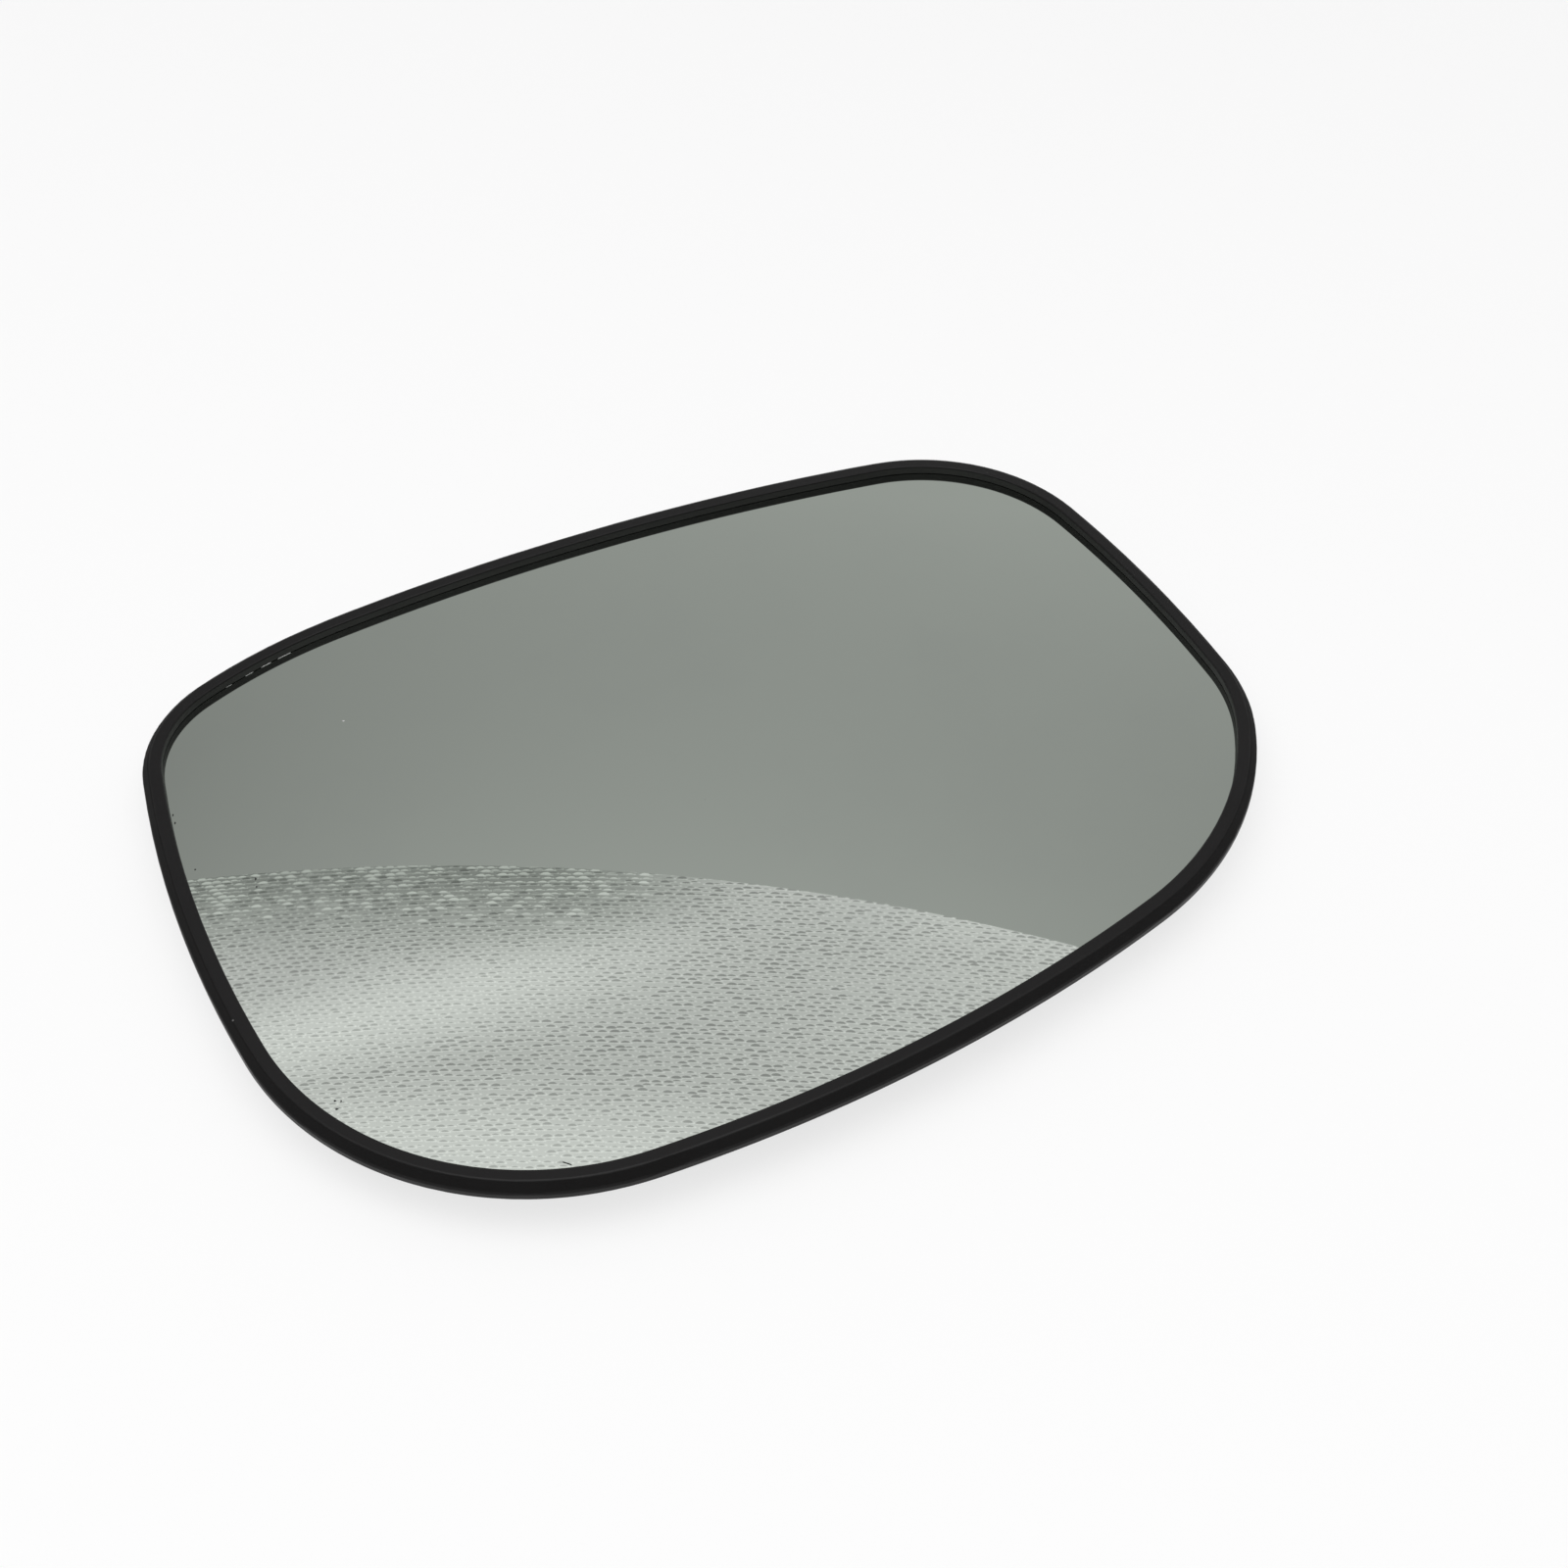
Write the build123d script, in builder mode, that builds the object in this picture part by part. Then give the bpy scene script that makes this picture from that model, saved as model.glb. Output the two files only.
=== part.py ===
from build123d import *
import math
import os

# A car door mirror glass unit lying face up: a convex mirror glass bonded into a black moulded holder.
# Millimetres. The origin is on the axis of the clip ring at its free end, +Z out of the front of the glass,
# +X along the length, towards the narrow end.

# Sight opening of the rim seen from the front: ends of the chords of its sides, from the clip ring's axis
upper_wide = (-76.6, 59.0)
upper_shoulder = (-39.3, 66.6)      # from here to the wide end the upper side runs on in a rounder arc
upper_narrow = (88.3, 51.7)
lower_narrow = (91.6, -23.9)
lower_slant = (50.0, -60.8)         # from here to the narrow end the lower side runs on in a rounder arc
lower_wide = (-86.3, -58.3)
upper_bulge = 3.8           # rise of each side's arc over its chord
narrow_bulge = 2.6
lower_bulge = 9.4
wide_bulge = 7.8
upper_wide_corner = 21.1    # corner radii
upper_narrow_corner = 29.8
lower_narrow_corner = 33.2
lower_wide_corner = 50.2

# Glass and its bond
curve_radius = 1300.0       # radius of the convex front
glass_thickness = 1.8
glass_seam = 0.25           # ground bevel on the glass edges
pad_thickness = 0.9         # foam pad between glass and holder
pad_margin = 4.0            # from the edge of the glass to the edge of the pad
pad_gap = 0.3               # round the edge of the pad
glue_film = 0.1             # on each side of the pad

# Rim of the holder
lip_overlap = 1.0           # lip over the edge of the glass
lip_gap = 0.1               # lip above the front of the glass
lip_height = 1.7            # crest of the lip above the front of the glass
edge_gap = 0.2              # round the edge of the glass
rim_wall = 2.3              # outside the gap
crest_width = 2.3           # from the sight opening out to the sloping flank
flank_drop = 1.7            # from the crest down to the side wall
side_land = 1.2             # upright side wall under the flank
bevel_angle = 50.0          # undercut below the side wall, from the upright, to swing clear of the housing
sight_round = 0.3           # rounding of the sight opening's edge
ridge_round = 0.7           # rounding between crest and flank
shoulder_round = 1.0        # rounding between flank and side wall
bevel_round = 0.3           # rounding between side wall and undercut

# Back plate and its ribs
plate_thickness = 2.0       # behind the pad
rib_count = 12
rib_thickness = 1.4
rib_height = 2.6
rib_border = 9.0            # from the sight opening in to the rib that runs round the edge
hoop_radius = 46.0          # round rib outside the clip ring

# Clip ring that presses onto the mirror drive
ring_bore = 57.0
ring_wall = 2.4
ring_height = 9.0           # from the free end to the back of the plate
gusset_reach = 8.0          # gussets from the ring's wall out along the ribs
gusset_setback = 2.2        # from the ring's free end to the gussets
tongue_count = 4
tongue_width = 10.0
tongue_slot = 1.2
tongue_depth = 6.4
barb_height = 0.9
barb_setback = 0.6          # from the free end to the barb's lead-in
barb_lead = 1.6             # length of the lead-in slope
barb_back = 0.6             # length of the catching slope
window_reach = 3.6          # window in the plate behind each barb, outwards from the ring

# Levels on the ring's axis, from the ring's free end upwards
plate_back = ring_height
plate_front = plate_back + plate_thickness
pad_back = plate_front + glue_film
pad_front = pad_back + pad_thickness
ledge = pad_front           # the edge of the glass lies over this ledge of the holder
glass_back = pad_front + glue_film
glass_front = glass_back + glass_thickness
lip_under = glass_front + lip_gap
crest = glass_front + lip_height
shoulder = crest - flank_drop
plate_middle = (plate_back + plate_front) / 2
curve_centre = (0, 0, glass_front - curve_radius)
off_poles = (90, 0, 0)      # turns a sphere so that its poles lie off the part

# Widths measured outwards from the sight opening
pad_grow = lip_overlap - pad_margin
pocket_grow = lip_overlap + edge_gap
rim_grow = pocket_grow + rim_wall
flank_width = rim_grow - crest_width
sight_reach = upper_narrow[0] - lower_wide[0]     # about the length of the opening

bevel_height = shoulder - side_land - plate_back
bevel_width = bevel_height * math.tan(math.radians(bevel_angle))

ring_radius = ring_bore / 2
ring_outside = ring_radius + ring_wall
ring_middle = ring_radius + ring_wall / 2

tongue_turn = 180 / tongue_count
tongue_angle = math.degrees(tongue_width / ring_outside)
slot_angle = math.degrees(tongue_slot / ring_outside)


def level(height):
    """Radius, about the common centre of curvature, of the layer at this height on the axis."""
    return curve_radius + height - glass_front


def edges_at(builder, height):
    """Edges that run round the part in the curved layer at this height on the axis."""
    centre = Vector(*curve_centre)
    return builder.edges().filter_by(
        lambda edge: abs((edge @ 0.5 - centre).length - level(height)) < side_land / 6
    )


# Sight opening
corner_radii = {
    upper_wide: upper_wide_corner,
    upper_narrow: upper_narrow_corner,
    lower_narrow: lower_narrow_corner,
    lower_wide: lower_wide_corner,
}

with BuildSketch() as rounded_chords:
    with BuildLine():
        upper_side = SagittaArc(upper_shoulder, upper_narrow, upper_bulge)
        SagittaArc(upper_narrow, lower_narrow, narrow_bulge)
        lower_side = SagittaArc(lower_slant, lower_wide, lower_bulge)
        SagittaArc(lower_wide, upper_wide, wide_bulge)
        TangentArc(upper_shoulder, upper_wide, tangent=-(upper_side % 0))
        TangentArc(lower_slant, lower_narrow, tangent=-(lower_side % 0))
    make_face()
    for corner, radius in corner_radii.items():
        fillet(rounded_chords.vertices().sort_by_distance(corner)[0], radius=radius)

# The same outline in arcs that share their ends exactly
arcs = rounded_chords.wire().order_edges()
arc_starts = [arc @ 0 for arc in arcs]
arc_ends = arc_starts[1:] + arc_starts[:1]

with BuildSketch() as sight:
    with BuildLine():
        for arc, start, end in zip(arcs, arc_starts, arc_ends):
            ThreePointArc(start, arc @ 0.5, end)
    make_face()

# Tall prisms start at the ring's free end and are trimmed to curved layers by spheres
prism_height = 2 * crest

# Mirror glass
with BuildPart() as mirror_glass:
    with BuildSketch():
        add(sight.sketch)
        offset(amount=lip_overlap)
    extrude(amount=prism_height)
    with Locations(curve_centre):
        Sphere(level(glass_front), rotation=off_poles, mode=Mode.INTERSECT)
        Sphere(level(glass_back), rotation=off_poles, mode=Mode.SUBTRACT)
    chamfer(mirror_glass.faces().filter_by(GeomType.SPHERE).edges(), length=glass_seam)
mirror_glass.part.label = "mirror_glass"

# Foam pad, a constant thickness that follows the curve
with BuildPart() as adhesive_pad:
    with BuildSketch():
        add(sight.sketch)
        offset(amount=pad_grow)
    extrude(amount=prism_height)
    with Locations(curve_centre):
        Sphere(level(pad_front), rotation=off_poles, mode=Mode.INTERSECT)
        Sphere(level(pad_back), rotation=off_poles, mode=Mode.SUBTRACT)
adhesive_pad.part.label = "adhesive_pad"

# Space in the holder for the glass, under the lip and open to the front through the sight opening
with BuildPart() as glass_pocket:
    with BuildSketch():
        add(sight.sketch)
        offset(amount=pocket_grow)
    extrude(amount=prism_height)
    with Locations(curve_centre):
        Sphere(level(lip_under), rotation=off_poles, mode=Mode.INTERSECT)
    with BuildSketch():
        add(sight.sketch)
    extrude(amount=prism_height)
    with Locations(curve_centre):
        Sphere(level(ledge), rotation=off_poles, mode=Mode.SUBTRACT)

# Recess for the pad, inside the ledge
with BuildPart() as pad_recess:
    with BuildSketch():
        add(sight.sketch)
        offset(amount=pad_grow + pad_gap)
    extrude(amount=prism_height)
    with Locations(curve_centre):
        Sphere(level(glass_back), rotation=off_poles, mode=Mode.INTERSECT)
        Sphere(level(plate_front), rotation=off_poles, mode=Mode.SUBTRACT)

# Ribs of one height on the back of the plate: a hoop, spokes, and a border that follows the outline
with BuildSketch() as border:
    add(sight.sketch)
    offset(amount=-rib_border)

with BuildSketch() as inside_border:
    add(border.sketch)
    offset(amount=-rib_thickness)

with BuildSketch() as border_rib:
    add(border.sketch)
    add(inside_border.sketch, mode=Mode.SUBTRACT)

with BuildPart() as ribs:
    with BuildSketch():
        Circle(hoop_radius + rib_thickness / 2)
        Circle(hoop_radius - rib_thickness / 2, mode=Mode.SUBTRACT)
        with PolarLocations(ring_middle, rib_count):
            Rectangle(sight_reach, rib_thickness, align=(Align.MIN, Align.CENTER))
        add(border.sketch, mode=Mode.INTERSECT)
        add(border_rib.sketch)
    extrude(amount=prism_height)
    with Locations(curve_centre):
        Sphere(level(plate_middle), rotation=off_poles, mode=Mode.INTERSECT)
        Sphere(level(plate_back - rib_height), rotation=off_poles, mode=Mode.SUBTRACT)

# One gusset along +X, between the ring's wall and a rib
with BuildPart() as gusset:
    with BuildSketch(Plane.XZ):
        with BuildLine():
            Polyline(
                (ring_middle, gusset_setback),
                (ring_outside, gusset_setback),
                (ring_outside + gusset_reach, plate_back - rib_height),
                (ring_outside + gusset_reach, plate_back),
                (ring_middle, plate_back),
                close=True,
            )
        make_face()
    extrude(amount=rib_thickness / 2, both=True)

# One outward barb of the ring, centred on +X, and the window in the plate behind it
start_of_tongue = Plane.XZ.rotated((0, 0, -tongue_angle / 2))

with BuildPart() as barb:
    with BuildSketch(start_of_tongue):
        with BuildLine():
            Polyline(
                (ring_middle, barb_setback),
                (ring_outside, barb_setback),
                (ring_outside + barb_height, barb_setback + barb_lead),
                (ring_outside, barb_setback + barb_lead + barb_back),
                (ring_middle, barb_setback + barb_lead + barb_back),
                close=True,
            )
        make_face()
    revolve(axis=Axis.Z, revolution_arc=tongue_angle)

with BuildPart() as window:
    with BuildSketch(start_of_tongue):
        with Locations((ring_outside + window_reach / 2, plate_middle)):
            Rectangle(window_reach, 2 * plate_thickness)
    revolve(axis=Axis.Z, revolution_arc=tongue_angle)

# Holder
with BuildPart() as holder:
    # Curved dish: a crest that follows the glass, a flank that falls outwards, a land and an undercut
    with BuildSketch():
        add(sight.sketch)
        offset(amount=rim_grow)
    extrude(amount=prism_height)
    with Locations(curve_centre):
        Sphere(level(crest), rotation=off_poles, mode=Mode.INTERSECT)
        Sphere(level(plate_back), rotation=off_poles, mode=Mode.SUBTRACT)
    front = holder.faces().filter_by(GeomType.SPHERE).sort_by(Axis.Z)[-1]
    chamfer(front.edges(), length=flank_width, length2=flank_drop, reference=front)
    back = holder.faces().filter_by(GeomType.SPHERE).sort_by(Axis.Z)[0]
    chamfer(back.edges(), length=bevel_width, length2=bevel_height, reference=back)
    fillet(edges_at(holder, shoulder - side_land), radius=bevel_round)
    fillet(edges_at(holder, shoulder), radius=shoulder_round)
    fillet(edges_at(holder, crest), radius=ridge_round)

    # Seat for glass and pad, and the rounded edge of the sight opening
    add(glass_pocket.part, mode=Mode.SUBTRACT)
    front = holder.faces().filter_by(GeomType.SPHERE).sort_by(Axis.Z)[-1]
    fillet(front.inner_wires()[0].edges(), radius=sight_round)
    add(pad_recess.part, mode=Mode.SUBTRACT)

    # Ribs, clip ring and gussets on the back
    add(ribs.part)
    with BuildSketch():
        Circle(ring_outside)
        Circle(ring_radius, mode=Mode.SUBTRACT)
    extrude(amount=plate_middle)
    with PolarLocations(0, rib_count):
        add(gusset.part)

    # Snap tongues of the ring: two slots each, a barb outside, a window behind the barb
    for side in (-1, 1):
        slot_turn = tongue_turn + side * (tongue_angle + slot_angle) / 2
        with PolarLocations(ring_middle, tongue_count, start_angle=slot_turn):
            Box(
                2 * ring_wall,
                tongue_slot,
                tongue_depth,
                align=(Align.CENTER, Align.CENTER, Align.MIN),
                mode=Mode.SUBTRACT,
            )
    with PolarLocations(0, tongue_count, start_angle=tongue_turn):
        add(barb.part)
        add(window.part, mode=Mode.SUBTRACT)
holder.part.label = "holder"

os.makedirs("parts", exist_ok=True)
export_step(holder.part, "parts/holder.step")
export_step(mirror_glass.part, "parts/mirror_glass.step")
export_step(adhesive_pad.part, "parts/adhesive_pad.step")
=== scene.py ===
import math

import bpy
from mathutils import Matrix, Vector


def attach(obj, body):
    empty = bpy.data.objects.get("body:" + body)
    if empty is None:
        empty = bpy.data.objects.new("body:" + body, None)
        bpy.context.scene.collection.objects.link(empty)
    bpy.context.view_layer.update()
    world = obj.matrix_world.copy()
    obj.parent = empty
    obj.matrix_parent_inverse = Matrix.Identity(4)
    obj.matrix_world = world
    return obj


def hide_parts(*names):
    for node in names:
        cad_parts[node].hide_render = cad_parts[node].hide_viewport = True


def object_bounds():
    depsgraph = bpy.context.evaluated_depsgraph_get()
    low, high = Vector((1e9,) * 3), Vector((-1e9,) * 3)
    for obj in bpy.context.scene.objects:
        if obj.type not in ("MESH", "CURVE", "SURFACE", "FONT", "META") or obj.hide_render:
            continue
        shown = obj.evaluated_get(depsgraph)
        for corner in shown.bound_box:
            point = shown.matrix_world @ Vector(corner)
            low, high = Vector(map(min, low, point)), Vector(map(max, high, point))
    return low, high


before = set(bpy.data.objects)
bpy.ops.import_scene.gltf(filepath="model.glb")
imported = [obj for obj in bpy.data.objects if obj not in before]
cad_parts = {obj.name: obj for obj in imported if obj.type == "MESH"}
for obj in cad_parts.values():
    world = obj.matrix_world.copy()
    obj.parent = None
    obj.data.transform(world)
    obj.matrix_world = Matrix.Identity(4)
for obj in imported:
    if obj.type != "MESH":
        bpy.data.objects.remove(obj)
cad_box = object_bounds()

MM = 0.001

# Outline of the sight opening, as in the part: ends of its chords, rises of its arcs and corner radii
upper_wide = Vector((-76.6, 59.0)) * MM
upper_shoulder = Vector((-39.3, 66.6)) * MM
upper_narrow = Vector((88.3, 51.7)) * MM
lower_narrow = Vector((91.6, -23.9)) * MM
lower_slant = Vector((50.0, -60.8)) * MM
lower_wide = Vector((-86.3, -58.3)) * MM
upper_bulge = 3.8 * MM
narrow_bulge = 2.6 * MM
lower_bulge = 9.4 * MM
wide_bulge = 7.8 * MM
upper_wide_corner = 21.1 * MM
upper_narrow_corner = 29.8 * MM
lower_narrow_corner = 33.2 * MM
lower_wide_corner = 50.2 * MM
sight_middle = Vector((4.0, 1.0)) * MM

# Glass
curve_radius = 1300.0 * MM
glass_front = 13.9 * MM         # height of the front on the axis
glass_thickness = 1.8 * MM
glass_seam = 0.25 * MM          # ground bevel on its edges
lip_overlap = 1.0 * MM          # the glass reaches this far under the rim's lip
glass_steps_round = 360
glass_steps_across = 44

# Dirt, and pale beads that paint glints at the foot of the lip, as in the photograph
dark_specks = [     # on the glass: place, and half its size along and across
    (Vector((-82.09, 39.44)) * MM, 0.12 * MM, 0.32 * MM),
    (Vector((-82.51, 37.50)) * MM, 0.14 * MM, 0.30 * MM),
    (Vector((-83.88, 25.51)) * MM, 0.16 * MM, 0.20 * MM),
    (Vector((-76.16, 17.92)) * MM, 0.16 * MM, 0.32 * MM),
    (Vector((-76.74, 16.20)) * MM, 0.16 * MM, 0.22 * MM),
    (Vector((-84.53, -31.89)) * MM, 0.22 * MM, 0.20 * MM),
    (Vector((-83.75, -32.48)) * MM, 0.10 * MM, 0.30 * MM),
    (Vector((-84.97, -33.53)) * MM, 0.26 * MM, 0.18 * MM),
]
pale_specks = [(Vector((-47.74, 44.62)) * MM, 0.20 * MM, 0.16 * MM)]
speck_heading = math.radians(-30.0)
speck_height = 0.08 * MM
speck_points = 14               # round each ring
speck_rings = 4
lint = [Vector((-59.14, -60.91)) * MM, Vector((-58.60, -61.52)) * MM, Vector((-58.12, -62.17)) * MM]
lint_radius = 0.07 * MM
lint_steps = 12
painted_glint_beads = [      # painted glints: pale beads at the foot of the lip; ends as shares of the way round, and radius
    (0.0667, 0.0717, 0.06 * MM),
    (0.0603, 0.0641, 0.06 * MM),
    (0.0540, 0.0571, 0.04 * MM),
    (0.0464, 0.0486, 0.025 * MM),
]
glint_bead_steps = 6000               # once round the sight opening
thread_points = 8               # round the lint and the beads
rim_mote = Vector((-92.14, -9.66)) * MM
rim_mote_radius = 0.16 * MM

# Detail of the finishes: its size, and the depth of its relief
smear_size = 30.0 * MM          # on the mirror
dust_spacing = 9.0 * MM
edge_grain = 0.12 * MM          # on the ground edge of the glass
edge_grain_depth = 0.02 * MM
paint_mottle = 4.0 * MM         # on the back of the glass
paint_depth = 0.05 * MM
moulding_grain = 0.25 * MM      # on the black moulding
moulding_depth = 0.03 * MM
gloss_patch = 9.0 * MM
mote_spacing = 4.5 * MM
foam_cell = 0.5 * MM
foam_depth = 0.08 * MM
dirt_and_glint_patch = 0.08 * MM
dirt_and_glint_depth = 0.02 * MM

# Camera, from the outline in the photograph
frame_pixels = 1600
focal_pixels = 3636.4
sensor = 36.0
camera_azimuth = -29.7
camera_elevation = 45.0
camera_distance = 600.0 * MM
aim_point = Vector((-6.95, -10.45, 13.84)) * MM
aim_pixel = (715, 845)

# Floor, and the sweep behind the part
floor_drop = 0.02 * MM          # below the part's lowest point
floor_radius = 4.0
cove_radius = 0.6
cove_steps = 12
wall_height = 1.2
stage_steps = 96
floor_level = 0.90
floor_white = 0.75              # share of plain white in what is seen of the floor

# Overhead lamp
lamp_place = Vector((-0.3, -0.2, 2.0))
lamp_size = 2.2
lamp_power = 15.0

# Grey room: level on its brightest side, and how that changes with heading and height
glow_heading = math.radians(60.0)
glow_height = math.radians(45.0)
heading_span = 0.45             # each way
height_span = (-0.20, 0.10)
far_level = 0.378
far_by_heading = (-0.0093, -0.394)      # straight and curved
far_by_height = (0.309, 2.055)
far_by_both = 0.719
near_level = 0.11
overhead_level = 5.0
overhead_power = 6.0

# Diffuser panel of the soft light, beyond the part
panel_height = 0.9
panel_centre = Vector((-1.367, -1.376))
panel_radius = 2.672            # of its curved edge
panel_depth = 0.6
panel_heading = math.radians(49.7)
panel_reach = 0.75              # each way along the edge
panel_steps = (60, 8)           # along and deep
first_lamp_depth = 0.088        # from the panel's edge
first_lamp_slant = 0.37
first_lamp_width = 0.085
second_lamp_depth = 0.30
second_lamp_width = 0.10
lamp_gain = 0.185
row_heading = math.radians(-33.0)       # way of the rows of dimples
row_pitch = (8.0 * MM, 4.7 * MM)        # from dimple to dimple along a row, and from row to row
row_stagger = 0.5                       # of a pitch along, from row to row
row_scatter = 0.45


class Graph:
    """A node tree with short calls for adding nodes and joining their sockets."""

    def __init__(self, tree):
        self.tree = tree
        tree.nodes.clear()

    def add(self, kind, inputs=None, **settings):
        """Adds a node. Each input is a plain value or another node's output."""
        made = self.tree.nodes.new("ShaderNode" + kind)
        for name, value in settings.items():
            setattr(made, name, value)
        for name, value in (inputs or {}).items():
            if isinstance(value, bpy.types.NodeSocket):
                self.tree.links.new(value, made.inputs[name])
            else:
                made.inputs[name].default_value = value
        return made

    def place(self):
        """Place on the object."""
        return self.add("TexCoord").outputs["Object"]

    def math(self, operation, *values):
        return self.add("Math", dict(enumerate(values)), operation=operation).outputs[0]

    def vector(self, operation, *values):
        """A sum with vectors: the number that it gives, or else the vector."""
        made = self.add("VectorMath", dict(enumerate(values)), operation=operation)
        is_number = operation in ("DISTANCE", "DOT_PRODUCT", "LENGTH")
        return made.outputs["Value" if is_number else "Vector"]

    def parts(self, vector):
        return self.add("SeparateXYZ", {"Vector": vector}).outputs

    def chances(self, cell):
        """Red, green and blue of a cell's colour, each a chance of its own."""
        return self.add("SeparateColor", {"Color": cell["Color"]}).outputs

    def ramp(self, value, low, high, to_low=0.0, to_high=1.0, smooth=True):
        """The value mapped from low..high to to_low..to_high, held at both ends."""
        inputs = {"Value": value, "From Min": low, "From Max": high, "To Min": to_low, "To Max": to_high}
        kind = "SMOOTHSTEP" if smooth else "LINEAR"
        return self.add("MapRange", inputs, interpolation_type=kind).outputs[0]

    def blend(self, factor, first, second):
        """Colour between the first and the second."""
        return self.add("Mix", {0: factor, 6: first, 7: second}, data_type="RGBA").outputs[2]

    def noise(self, place, size, detail=2.0, roughness=0.5):
        """Soft noise whose features are about this size in metres."""
        inputs = {"Vector": place, "Scale": 1 / size, "Detail": detail, "Roughness": roughness}
        return self.add("TexNoise", inputs).outputs["Fac"]

    def cells(self, place, size):
        """Irregular cells about this size in metres."""
        return self.add("TexVoronoi", {"Vector": place, "Scale": 1 / size}).outputs

    def relief(self, height, strength, depth):
        inputs = {"Height": height, "Strength": strength, "Distance": depth}
        return self.add("Bump", inputs).outputs[0]

    def finish(self, inputs):
        """Ends a material with the common shader."""
        shader = self.add("BsdfPrincipled", inputs)
        self.add("OutputMaterial", {"Surface": shader.outputs[0]})


def grey(level):
    return (level, level, level, 1.0)


def new_material(name):
    material = bpy.data.materials.new(name)
    material.use_nodes = True
    return material, Graph(material.node_tree)


def mirror_material():
    """Bright coating on the front of the glass, with a faint green cast, light smears and a little dust."""
    material, graph = new_material("mirror_coating")
    place = graph.place()
    smear = graph.ramp(graph.noise(place, smear_size, detail=4.0, roughness=0.6), 0.45, 0.75)
    cast = graph.blend(smear, (0.702, 0.760, 0.692, 1), (0.690, 0.746, 0.682, 1))
    speck_cell = graph.cells(place, dust_spacing)
    chance = graph.chances(speck_cell)
    small = graph.ramp(chance["Green"], 0.0, 1.0, 0.006, 0.014, smooth=False)
    near = graph.math("LESS_THAN", speck_cell["Distance"], small)
    dust = graph.math("MULTIPLY", near, graph.math("GREATER_THAN", chance["Red"], 0.55))
    colour = graph.blend(dust, cast, grey(0.30))
    rough = graph.ramp(smear, 0.0, 1.0, 0.008, 0.016, smooth=False)
    rough = graph.math("MAXIMUM", rough, graph.math("MULTIPLY", dust, 0.6))
    graph.finish({"Base Color": colour, "Metallic": 1.0, "Roughness": rough})
    return material


def ground_edge_material():
    """Ground edge of the glass: matt, pale green."""
    material, graph = new_material("ground_glass_edge")
    place = graph.place()
    grain = graph.noise(place, edge_grain, detail=3.0)
    colour = graph.blend(grain, (0.16, 0.24, 0.20, 1), (0.26, 0.36, 0.31, 1))
    relief = graph.relief(grain, 0.4, edge_grain_depth)
    graph.finish({"Base Color": colour, "Roughness": 0.55, "Normal": relief})
    return material


def backing_material():
    """Grey protective paint on the back of the glass."""
    material, graph = new_material("backing_paint")
    place = graph.place()
    mottle = graph.noise(place, paint_mottle, detail=5.0, roughness=0.65)
    colour = graph.blend(mottle, grey(0.07), grey(0.10))
    relief = graph.relief(mottle, 0.2, paint_depth)
    graph.finish({"Base Color": colour, "Roughness": 0.5, "Normal": relief})
    return material


def pale_motes(graph, place, flat):
    """1 on a few scattered motes and on the one at the wide end, 0 elsewhere."""
    cell = graph.cells(place, mote_spacing)
    near = graph.math("LESS_THAN", cell["Distance"], 0.022)
    scattered = graph.math("MULTIPLY", near, graph.math("GREATER_THAN", graph.chances(cell)["Red"], 0.93))
    off_mote = graph.vector("DISTANCE", flat, (*rim_mote, 0.0))
    return graph.math("MAXIMUM", scattered, graph.math("LESS_THAN", off_mote, rim_mote_radius))


def outer_slope(graph, flat):
    """1 on the sloping outer side of the rim, 0 elsewhere."""
    outward = graph.vector("NORMALIZE", graph.vector("SUBTRACT", flat, (*sight_middle, 0.0)))
    facing = graph.add("NewGeometry").outputs["Normal"]
    steep = graph.vector("DOT_PRODUCT", outward, facing)
    upward = graph.parts(facing)[2]
    return graph.math("MULTIPLY", graph.ramp(steep, 0.35, 0.60), graph.ramp(upward, 0.10, 0.45))


def plastic_material():
    """Satin black moulding: a fine grain, patches of gloss, a few pale motes and duller outer sides."""
    material, graph = new_material("black_moulding")
    place = graph.place()
    flat = graph.vector("MULTIPLY", place, (1.0, 1.0, 0.0))
    grain = graph.noise(place, moulding_grain, detail=3.0, roughness=0.6)
    patch = graph.noise(place, gloss_patch, detail=4.0, roughness=0.6)
    colour = graph.blend(patch, (0.0042, 0.0039, 0.0039, 1), (0.0060, 0.0056, 0.0056, 1))
    colour = graph.blend(pale_motes(graph, place, flat), colour, grey(0.12))
    rough = graph.ramp(outer_slope(graph, flat), 0.0, 1.0, 0.42, 0.96, smooth=False)
    rough = graph.math("ADD", rough, graph.ramp(patch, 0.3, 0.7, -0.04, 0.04))
    relief = graph.relief(grain, 0.35, moulding_depth)
    graph.finish({"Base Color": colour, "Roughness": rough, "Specular IOR Level": 0.29, "Normal": relief})
    return material


def foam_material():
    """Dark closed-cell foam."""
    material, graph = new_material("closed_cell_foam")
    place = graph.place()
    cell = graph.cells(place, foam_cell)["Distance"]
    colour = graph.blend(graph.ramp(cell, 0.0, 0.6), grey(0.035), grey(0.075))
    relief = graph.relief(cell, 0.6, foam_depth)
    graph.finish({"Base Color": colour, "Roughness": 0.85, "Normal": relief})
    return material


def dirt_and_glint_material(name, dark, light):
    """Dull, patchy finish at its own small size, for the specks and lint and for the pale beads that paint
    glints.
    """
    material, graph = new_material(name)
    place = graph.place()
    patch = graph.noise(place, dirt_and_glint_patch, detail=3.0)
    relief = graph.relief(patch, 0.5, dirt_and_glint_depth)
    graph.finish({"Base Color": graph.blend(patch, dark, light), "Roughness": 0.7, "Normal": relief})
    return material


def seen_directly(graph):
    """1 for what is seen, straight, in a shine or through glass, and 0 for light that falls on things."""
    path = graph.add("LightPath").outputs
    seen = graph.math("MAXIMUM", path["Is Camera Ray"], path["Is Glossy Ray"])
    return graph.math("MAXIMUM", seen, path["Is Transmission Ray"])


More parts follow.
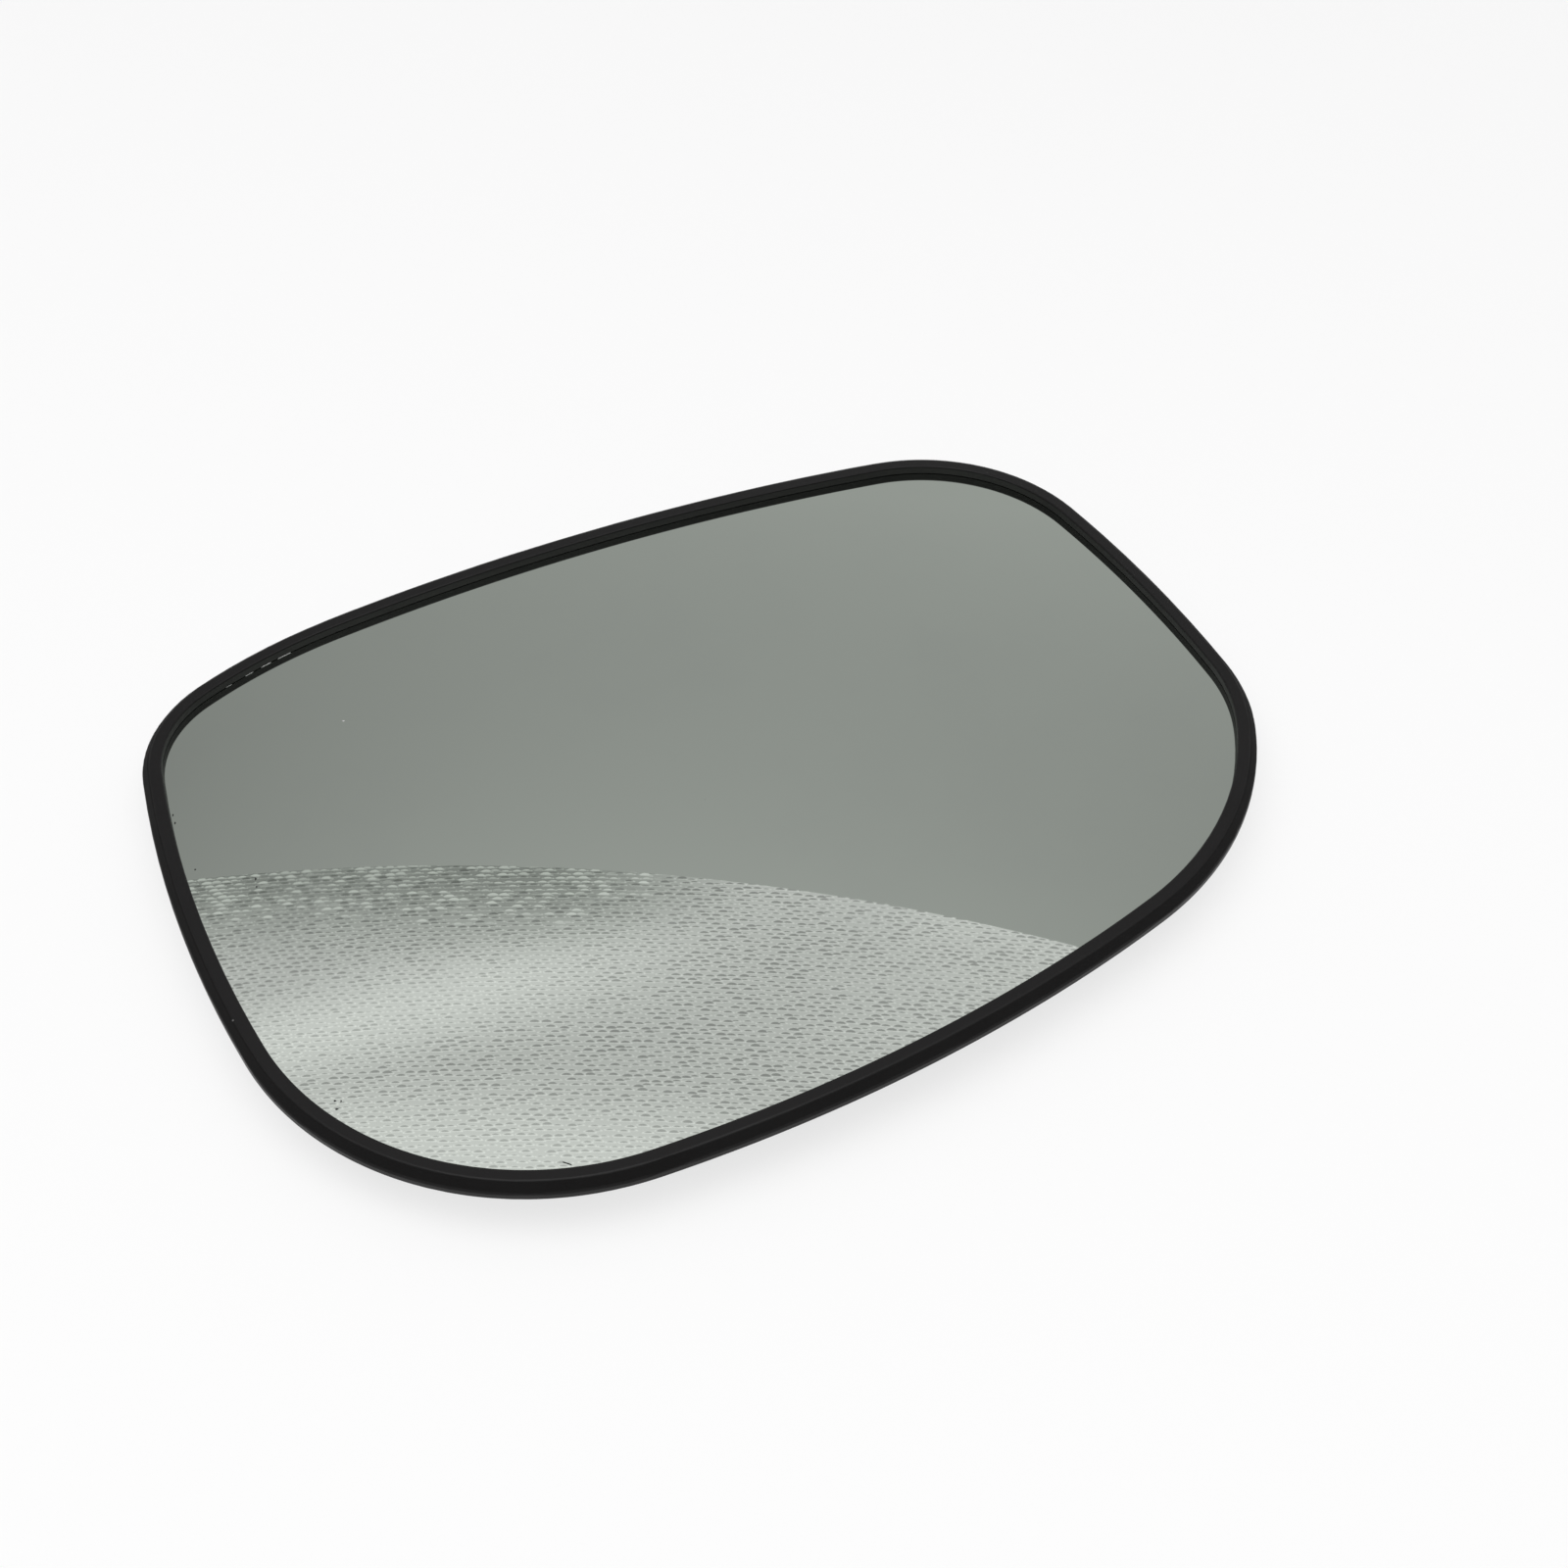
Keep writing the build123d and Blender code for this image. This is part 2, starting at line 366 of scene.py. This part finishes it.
def floor_material():
    """Pale matt paper that shows white and keeps the part's shadow."""
    material, graph = new_material("pale_floor")
    matt = graph.add("BsdfDiffuse", {"Color": grey(floor_level)})
    white = graph.add("Emission", {"Color": grey(1.0), "Strength": 1.0})
    share = graph.math("MULTIPLY", seen_directly(graph), floor_white)
    mixed = graph.add("MixShader", {0: share, 1: matt.outputs[0], 2: white.outputs[0]})
    graph.add("OutputMaterial", {"Surface": mixed.outputs[0]})
    return material


def panel_light(graph, along, depth):
    """Plain level of the panel, and how far a place lies under its lamps and in the shade of its edge."""
    first_line = graph.math("MULTIPLY_ADD", along, first_lamp_slant, first_lamp_depth)
    off_first = graph.math("ABSOLUTE", graph.math("SUBTRACT", depth, first_line))
    off_second = graph.math("ABSOLUTE", graph.math("SUBTRACT", depth, second_lamp_depth))
    first_lamp = graph.ramp(off_first, 0.0, first_lamp_width, 1.0, 0.0)
    first_lamp = graph.math("MULTIPLY", first_lamp, graph.ramp(along, -0.08, 0.18))
    second_lamp = graph.ramp(off_second, 0.0, second_lamp_width, 1.0, 0.0)
    lamps = graph.math("MAXIMUM", first_lamp, second_lamp)
    shade_reach = graph.ramp(along, -0.10, 0.15, 0.05, 0.127)
    shade = graph.ramp(graph.math("DIVIDE", depth, shade_reach), 0.0, 1.0, 1.0, 0.0)
    shade_depth = graph.ramp(along, -0.06, 0.14, -0.03, 0.32)
    level = graph.math("MULTIPLY_ADD", lamps, lamp_gain, graph.ramp(along, -0.20, -0.05, 0.655, 0.60))
    level = graph.math("SUBTRACT", level, graph.math("MULTIPLY", shade, shade_depth))
    near_edge = graph.math("MULTIPLY", shade, graph.ramp(along, -0.04, 0.12))
    return level, lamps, near_edge


def nearest_dimple(graph):
    """Offset from the nearest dimple's middle, along and across its row, and two of its chances."""
    rows = graph.add("UVMap", uv_map="rows").outputs[0]
    inputs = {"Vector": rows, "Scale": 1.0, "Randomness": row_scatter}
    cell = graph.add("TexVoronoi", inputs, voronoi_dimensions="2D").outputs
    offset = graph.parts(graph.vector("SUBTRACT", rows, cell["Position"]))
    along = graph.math("MULTIPLY_ADD", offset[1], -row_stagger, offset[0])
    chance = graph.chances(cell)
    return along, offset[1], chance["Red"], chance["Green"]


def dimples(graph, lamps, near_edge):
    """What the dimples add to the panel's level: dark or pale middles, and borders lit from one side."""
    off_along, off_across, size_chance, pale_chance = nearest_dimple(graph)
    pale_share = graph.ramp(graph.math("MULTIPLY_ADD", pale_chance, -0.9, near_edge), 0.15, 0.55)
    size = graph.math("MULTIPLY_ADD", size_chance, 0.14, graph.math("MULTIPLY_ADD", lamps, -0.05, 0.16))
    size = graph.math("MULTIPLY_ADD", pale_share, 0.06, size)
    arch = graph.math("MULTIPLY", graph.math("MULTIPLY", off_along, off_along), 0.8)
    flatness = graph.ramp(size_chance, 0.0, 1.0, 1.55, 1.0, smooth=False)
    raised = graph.math("MULTIPLY", graph.math("ADD", off_across, arch), flatness)
    flat = graph.add("CombineXYZ", {0: graph.math("MULTIPLY", off_along, 0.68), 1: raised}).outputs[0]
    gap = graph.math("SUBTRACT", graph.vector("LENGTH", flat), size)
    middle = graph.ramp(gap, -0.05, 0.05, 1.0, 0.0)
    border = graph.ramp(graph.math("ABSOLUTE", graph.math("SUBTRACT", gap, 0.12)), 0.0, 0.11, 1.0, 0.0)
    side = graph.ramp(off_across, -0.15, 0.15, -1.0, 1.0)
    dark = graph.math("MULTIPLY_ADD", near_edge, 0.17, graph.math("MULTIPLY_ADD", lamps, 0.05, -0.28))
    tone = graph.ramp(pale_share, 0.0, 1.0, dark, 0.32, smooth=False)
    lit_side = graph.math("MULTIPLY_ADD", near_edge, -0.14, graph.math("MULTIPLY_ADD", lamps, -0.04, -0.05))
    border_tone = graph.math("MULTIPLY_ADD", near_edge, -0.08, 0.15)
    border_tone = graph.math("MULTIPLY_ADD", side, lit_side, border_tone)
    return graph.math("MULTIPLY_ADD", border, border_tone, graph.math("MULTIPLY", middle, tone))


def panel_material():
    """Dimpled diffuser sheet of the soft light, brighter over its lamps and darker along its edge."""
    material, graph = new_material("dimpled_diffuser")
    spot = graph.parts(graph.add("UVMap", uv_map="place").outputs[0])
    level, lamps, near_edge = panel_light(graph, spot[0], spot[1])
    level = graph.math("ADD", level, dimples(graph, lamps, near_edge))
    colour = graph.blend(near_edge, (1.0, 0.975, 1.0, 1.0), (0.99, 1.0, 0.99, 1.0))
    shader = graph.add("Emission", {"Color": colour, "Strength": level})
    graph.add("OutputMaterial", {"Surface": shader.outputs[0]})
    return material


def side_circle(start, end, bulge):
    """Centre and radius of the arc from start to end that bulges by this much to the left of the way."""
    chord = end - start
    outward = Vector((-chord.y, chord.x)).normalized()
    radius = (chord.length_squared / 4 + bulge ** 2) / (2 * bulge)
    return (start + end) / 2 + outward * (bulge - radius), radius


def run_on_circle(joint, side, far):
    """Centre and radius of the arc that runs on smoothly from a side, from the joint to the far point."""
    inward = (side[0] - joint).normalized()
    way = far - joint
    radius = way.length_squared / (2 * inward.dot(way))
    return joint + inward * radius, radius


def corner_centre(first, second, radius, corner):
    """Centre of the round of this radius inside two side circles, near their corner."""
    (centre_a, radius_a), (centre_b, radius_b) = first, second
    reach_a, reach_b = radius_a - radius, radius_b - radius
    line = centre_b - centre_a
    along = (reach_a ** 2 - reach_b ** 2 + line.length_squared) / (2 * line.length)
    across = math.sqrt(reach_a ** 2 - along ** 2)
    unit = line.normalized()
    normal = Vector((-unit.y, unit.x))
    both = [centre_a + unit * along + normal * across * sign for sign in (1, -1)]
    return min(both, key=lambda point: (point - corner).length)


def heading_of(centre, point):
    way = point - centre
    return math.atan2(way.y, way.x)


def outline_arcs():
    """The sight opening as (centre, radius, start angle, end angle) of its arcs, clockwise."""
    upper = side_circle(upper_shoulder, upper_narrow, upper_bulge)
    narrow = side_circle(upper_narrow, lower_narrow, narrow_bulge)
    lower = side_circle(lower_slant, lower_wide, lower_bulge)
    wide = side_circle(lower_wide, upper_wide, wide_bulge)
    shoulder = run_on_circle(upper_shoulder, upper, upper_wide)
    slant = run_on_circle(lower_slant, lower, lower_narrow)
    joints = [
        (wide, shoulder, upper_wide, upper_wide_corner),
        (shoulder, upper, upper_shoulder, None),
        (upper, narrow, upper_narrow, upper_narrow_corner),
        (narrow, slant, lower_narrow, lower_narrow_corner),
        (slant, lower, lower_slant, None),
        (lower, wide, lower_wide, lower_wide_corner),
    ]
    meets = []
    for before, after, corner, radius in joints:
        meets.append(corner_centre(before, after, radius, corner) if radius else corner)
    arcs = []
    for k, (before, after, corner, radius) in enumerate(joints):
        meet, next_meet = meets[k], meets[(k + 1) % len(joints)]
        if radius:
            arcs.append((meet, radius, heading_of(before[0], meet), heading_of(after[0], meet)))
        arcs.append((*after, heading_of(after[0], meet), heading_of(after[0], next_meet)))
    return arcs


def outline(grow, count):
    """Points spread evenly by arc length round the sight opening, grown outwards by this much."""
    arcs = []
    for centre, radius, start, end in outline_arcs():
        turn = (end - start) % (-2 * math.pi)
        arcs.append((centre, radius, start, turn, abs(turn) * radius))
    step = sum(arc[-1] for arc in arcs) / count
    points, ahead = [], 0.0
    for centre, radius, start, turn, length in arcs:
        while ahead < length - 1e-9:
            angle = start + turn * ahead / length
            points.append(centre + Vector((math.cos(angle), math.sin(angle))) * (radius + grow))
            ahead += step
        ahead -= length
    return points[:count]


def height_on(point, drop=0.0):
    """Height of the curved front over this point, or of the layer this far under it."""
    radius = curve_radius - drop
    return glass_front - curve_radius + math.sqrt(radius ** 2 - point.x ** 2 - point.y ** 2)


def new_object(name, vertices, faces):
    mesh = bpy.data.meshes.new(name)
    mesh.from_pydata(vertices, [], faces)
    mesh.validate()
    made = bpy.data.objects.new(name, mesh)
    bpy.context.scene.collection.objects.link(made)
    return made


def band(k, count):
    """Faces from ring k of points to the next, with this many points in each ring."""
    faces = []
    for i in range(count):
        j = (i + 1) % count
        faces.append((k * count + i, k * count + j, (k + 1) * count + j, (k + 1) * count + i))
    return faces


def exact_normals(mesh):
    """Gives the curved faces the sphere's own normals, and leaves bevels and edge flat across."""
    centre = Vector((0, 0, glass_front - curve_radius))
    mesh.shade_smooth()
    normals = []
    for face in mesh.polygons:
        for index in face.vertices:
            out = (mesh.vertices[index].co - centre).normalized()
            normals.append({0: out, 1: face.normal, 2: -out}[face.material_index])
    mesh.normals_split_custom_set(normals)


def glass_rings():
    """Rings of points from the middle of the front out to the edge and back in to the middle of the back."""
    count, across = glass_steps_round, glass_steps_across
    face_edge = outline(lip_overlap - glass_seam, count)
    wall_edge = outline(lip_overlap, count)

    def curved(step, drop):
        share = 1 - step / across
        points = [sight_middle + (point - sight_middle) * share for point in face_edge]
        return [(point.x, point.y, height_on(point, drop)) for point in points]

    front = [curved(step, 0.0) for step in range(across)]
    back = [curved(step, glass_thickness) for step in range(across)]
    wall_top = [(point.x, point.y, height_on(point) - glass_seam) for point in wall_edge]
    wall_foot = [(point.x, point.y, height_on(point, glass_thickness) + glass_seam) for point in wall_edge]
    return front[::-1] + [wall_top, wall_foot] + back


def glass_piece():
    """The convex glass: a fine curved front, ground bevels and edge, and a painted back."""
    count, across, middle = glass_steps_round, glass_steps_across, sight_middle
    rings = glass_rings()
    vertices = [vertex for ring in rings for vertex in ring]
    faces, kinds = [], []
    for k in range(len(rings) - 1):
        kind = 0 if k < across - 1 else 2 if k > across + 1 else 1
        faces += band(k, count)
        kinds += [kind] * count
    top, foot = len(vertices), len(vertices) + 1
    last = (len(rings) - 1) * count
    vertices.append((middle.x, middle.y, height_on(middle)))
    vertices.append((middle.x, middle.y, height_on(middle, glass_thickness)))
    for i in range(count):
        j = (i + 1) % count
        faces += [(top, j, i), (foot, last + i, last + j)]
        kinds += [0, 2]
    piece = new_object("convex_glass", vertices, faces)
    for material in (mirror_material(), ground_edge_material(), backing_material()):
        piece.data.materials.append(material)
    piece.data.polygons.foreach_set("material_index", kinds)
    exact_normals(piece.data)
    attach(piece, "root")
    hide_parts("mirror_glass")


def speck(place, along, across):
    """An uneven low grain on the glass, as vertices and faces."""
    count, rings = speck_points, speck_rings
    vertices, faces = [], []
    for k in range(rings):
        share = 1 - k / rings
        for i in range(count):
            turn = 2 * math.pi * i / count
            reach = share * (1 + 0.18 * math.sin(3 * turn + 1.3) + 0.10 * math.sin(5 * turn))
            offset = Vector((along * math.cos(turn), across * math.sin(turn))) * reach
            offset.rotate(Matrix.Rotation(speck_heading, 2))
            spot = place + offset
            vertices.append((spot.x, spot.y, height_on(spot) + speck_height * (1 - share ** 2)))
    vertices.append((place.x, place.y, height_on(place) + speck_height))
    for k in range(rings - 1):
        faces += band(k, count)
    last = (rings - 1) * count
    faces += [(last + i, last + (i + 1) % count, rings * count) for i in range(count)]
    return vertices, faces


def thread(points, radius):
    """A thin round thread through the points that tapers at both ends, as vertices and faces."""
    count, last = thread_points, len(points) - 1
    vertices, faces = [], []
    for k, point in enumerate(points):
        way = (points[min(k + 1, last)] - points[max(k - 1, 0)]).normalized()
        side = way.cross(Vector((0, 0, 1))).normalized()
        taper = radius * math.sqrt(max(1 - (2 * k / last - 1) ** 4, 0.02))
        for i in range(count):
            turn = 2 * math.pi * i / count
            vertices.append(point + (side * math.cos(turn) + side.cross(way) * math.sin(turn)) * taper)
    for k in range(last):
        faces += band(k, count)
    faces.append(tuple(range(count))[::-1])
    faces.append(tuple(last * count + i for i in range(count)))
    return vertices, faces


def lint_path():
    """Points of the curved piece of lint that lies on the glass."""
    start, middle, end = lint
    points = []
    for k in range(lint_steps + 1):
        share = k / lint_steps
        spot = start * (1 - share) ** 2 + middle * 2 * share * (1 - share) + end * share ** 2
        points.append(Vector((spot.x, spot.y, height_on(spot) + lint_radius)))
    return points


def glint_bead(start, end, radius):
    """A pale thread on the glass along the lip's inner wall, between these shares of the way round, that
    paints a glint.
    """
    wall = outline(-radius / 2, glint_bead_steps)
    picked = wall[round(start * glint_bead_steps):round(end * glint_bead_steps) + 1]
    return thread([Vector((spot.x, spot.y, height_on(spot) + radius / 3)) for spot in picked], radius)


def dirt_and_glint_piece(name, forms, material):
    """One piece of several small forms."""
    vertices, faces = [], []
    for form_vertices, form_faces in forms:
        first = len(vertices)
        vertices += form_vertices
        faces += [tuple(first + index for index in face) for face in form_faces]
    piece = new_object(name, vertices, faces)
    piece.data.materials.append(material)
    piece.data.shade_smooth()
    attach(piece, "root")


def dirt_and_glints():
    """Specks and a piece of lint on the glass, and pale beads at the foot of the lip that paint glints."""
    dark_forms = [speck(*one) for one in dark_specks] + [thread(lint_path(), lint_radius)]
    dirt_and_glint_piece("dark_dirt", dark_forms, dirt_and_glint_material("dark_dirt", grey(0.010), grey(0.030)))
    # the pale piece holds one real speck and the beads that paint glints at the foot of the lip
    pale_forms = [speck(*one) for one in pale_specks] + [glint_bead(*one) for one in painted_glint_beads]
    dirt_and_glint_piece("pale_speck_and_glints", pale_forms, dirt_and_glint_material("pale_speck_and_glints", grey(0.48), grey(0.68)))


def dress_cad_nodes():
    """Finish of the solids that are shown as they are."""
    for name, material in (("holder", plastic_material()), ("adhesive_pad", foam_material())):
        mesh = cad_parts[name].data
        mesh.materials.clear()
        mesh.materials.append(material)


def studio_floor():
    """Pale floor disc, and behind the part a sweep up into a low wall."""
    base = cad_box[0].z - floor_drop
    vertices = [(0.0, 0.0, base)]
    for i in range(stage_steps):
        turn = 2 * math.pi * i / stage_steps
        vertices.append((floor_radius * math.cos(turn), floor_radius * math.sin(turn), base))
    faces = [(0, 1 + i, 1 + (i + 1) % stage_steps) for i in range(stage_steps)]
    profile = [(floor_radius, 0.0)]
    for k in range(1, cove_steps + 1):
        turn = math.radians(90 * k / cove_steps)
        profile.append((floor_radius + cove_radius * math.sin(turn), cove_radius * (1 - math.cos(turn))))
    profile.append((floor_radius + cove_radius, wall_height))
    first, row = len(vertices), stage_steps // 2 + 1
    for radius, height in profile:
        for i in range(row):
            turn = glow_heading + math.pi * (2 * i / stage_steps - 0.5)
            vertices.append((radius * math.cos(turn), radius * math.sin(turn), base + height))
    for k in range(len(profile) - 1):
        for i in range(row - 1):
            a = first + k * row + i
            faces.append((a, a + row, a + row + 1, a + 1))
    floor = new_object("studio_floor", vertices, faces)
    floor.data.materials.append(floor_material())
    floor.data.shade_smooth()


def diffuser_panel():
    """Level panel with a curved edge, which hangs beyond the part and shows in the glass."""
    steps_along, steps_deep = panel_steps
    row_way = Vector((math.cos(row_heading), math.sin(row_heading)))
    vertices, places, rows, faces = [], [], [], []
    for i in range(steps_along + 1):
        along = panel_reach * (2 * i / steps_along - 1)
        heading = panel_heading + along / panel_radius
        for j in range(steps_deep + 1):
            depth = panel_depth * j / steps_deep
            spot = panel_centre + Vector((math.cos(heading), math.sin(heading))) * (panel_radius - depth)
            vertices.append((spot.x, spot.y, panel_height))
            places.append((along, depth))
            row = row_way.cross(spot) / row_pitch[1]
            rows.append((spot.dot(row_way) / row_pitch[0] + row_stagger * row, row))
    for i in range(steps_along):
        for j in range(steps_deep):
            a = i * (steps_deep + 1) + j
            faces.append((a, a + 1, a + steps_deep + 2, a + steps_deep + 1))
    panel = new_object("diffuser_panel", vertices, faces)
    for name, values in (("place", places), ("rows", rows)):
        layer = panel.data.uv_layers.new(name=name)
        for loop in panel.data.loops:
            layer.data[loop.index].uv = values[loop.vertex_index]
    panel.data.materials.append(panel_material())
    panel.visible_camera = False


def overhead_lamp():
    """Large soft lamp over the part, which doesn't show in the glass."""
    data = bpy.data.lights.new("overhead_lamp", "AREA")
    data.shape = "DISK"
    data.size = lamp_size
    data.energy = lamp_power
    lamp = bpy.data.objects.new("overhead_lamp", data)
    lamp.location = lamp_place
    lamp.rotation_euler = (-lamp_place).to_track_quat("-Z", "Y").to_euler()
    lamp.visible_glossy = False
    bpy.context.scene.collection.objects.link(lamp)


def far_side(graph, part):
    """Level of the bright side of the room, which changes gently with heading and height."""
    turn = graph.math("SUBTRACT", graph.math("ARCTAN2", part[1], part[0]), glow_heading)
    rise = graph.math("SUBTRACT", graph.math("ARCSINE", part[2]), glow_height)
    turn = graph.ramp(turn, -heading_span, heading_span, -heading_span, heading_span, smooth=False)
    rise = graph.ramp(rise, *height_span, *height_span, smooth=False)
    by_turn = graph.math("MULTIPLY_ADD", rise, far_by_both, far_by_heading[0])
    by_turn = graph.math("MULTIPLY_ADD", turn, far_by_heading[1], by_turn)
    by_rise = graph.math("MULTIPLY_ADD", rise, far_by_height[1], far_by_height[0])
    return graph.math("MULTIPLY_ADD", turn, by_turn, graph.math("MULTIPLY_ADD", rise, by_rise, far_level))


def grey_surround():
    """Plain grey room light, brighter overhead and on the far side, darkest low down behind the camera."""
    world = bpy.data.worlds.new("surround")
    bpy.context.scene.world = world
    world.use_nodes = True
    graph = Graph(world.node_tree)
    reach = math.cos(glow_height)
    glow_way = (math.cos(glow_heading) * reach, math.sin(glow_heading) * reach, math.sin(glow_height))
    way = graph.add("TexCoord").outputs["Generated"]
    part = graph.parts(way)
    toward = graph.vector("DOT_PRODUCT", way, glow_way)
    share = graph.ramp(toward, 0.2, 0.95)
    overhead = graph.math("POWER", graph.math("MAXIMUM", part[2], 0.0), overhead_power)
    near_side = graph.math("MULTIPLY_ADD", overhead, overhead_level, near_level)
    level = graph.math("SUBTRACT", far_side(graph, part), near_side)
    level = graph.math("MULTIPLY_ADD", level, share, near_side)
    back = graph.add("Background", {"Color": grey(1.0), "Strength": level})
    graph.add("OutputWorld", {"Surface": back.outputs[0]})


def photo_camera():
    """Camera at the photograph's place and angle."""
    turn, lift = math.radians(camera_azimuth), math.radians(camera_elevation)
    back = Vector((math.sin(turn) * math.cos(lift), -math.cos(turn) * math.cos(lift), math.sin(lift)))
    right = Vector((math.cos(turn), math.sin(turn), 0.0))
    up = back.cross(right)
    pixel = camera_distance / focal_pixels
    shift_right = (frame_pixels / 2 - aim_pixel[0]) * pixel
    shift_up = (aim_pixel[1] - frame_pixels / 2) * pixel
    data = bpy.data.cameras.new("photo_camera")
    data.sensor_width = sensor
    data.lens = sensor * focal_pixels / frame_pixels
    data.clip_start = 0.01
    camera = bpy.data.objects.new("photo_camera", data)
    place = aim_point + back * camera_distance + right * shift_right + up * shift_up
    camera.matrix_world = Matrix.Translation(place) @ Matrix((right, up, back)).transposed().to_4x4()
    bpy.context.scene.collection.objects.link(camera)
    bpy.context.scene.camera = camera


glass_piece()
dress_cad_nodes()
dirt_and_glints()
studio_floor()
diffuser_panel()
grey_surround()
overhead_lamp()
photo_camera()
bpy.context.scene.view_settings.view_transform = "Standard"
